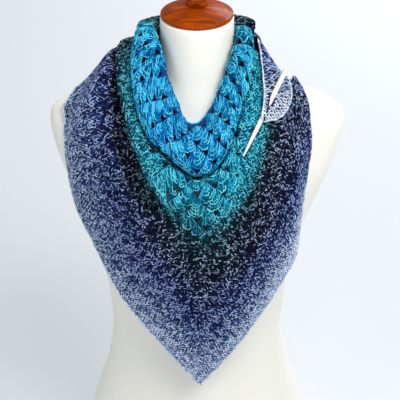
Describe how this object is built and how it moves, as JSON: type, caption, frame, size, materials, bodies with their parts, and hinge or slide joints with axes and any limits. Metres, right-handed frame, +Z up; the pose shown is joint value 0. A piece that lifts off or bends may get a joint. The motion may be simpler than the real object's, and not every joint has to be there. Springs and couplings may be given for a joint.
{
  "type": "shawl on dress form",
  "caption": "Crocheted triangle shawl worn point to the front, with a rolled neckline and one end pinned at the shoulder, on a limbless dress form with a turned wooden neck cap.",
  "frame": {"origin": "on the flat base of the dress form, under the axis of its neck", "axes": "+Z up, -Y to the front of the form, +X to the right of someone who faces it"},
  "size_m": [0.4, 0.2743, 0.8484],
  "materials": {
    "azure_wool": "matte heathered yarn",
    "teal_wool": "matte heathered yarn",
    "dark_wool": "matte heathered yarn with pale flecks",
    "lavender_wool": "matte heathered yarn",
    "ivory_stick": "smooth, half gloss",
    "white_jersey": "matte fine jersey",
    "varnished_wood": "high varnish"
  },
  "bodies": {
    "root": {"neck_roll": "azure_wool", "teal_fold": "teal_wool", "front_panel": "dark_wool", "back_left_wing": "dark_wool", "back_right_wing": "dark_wool", "pinned_end": "lavender_wool", "shawl_pin": "ivory_stick", "form_torso": "white_jersey", "form_neck_cap": "varnished_wood", "form_finial": "varnished_wood"}
  },
  "joints": []
}
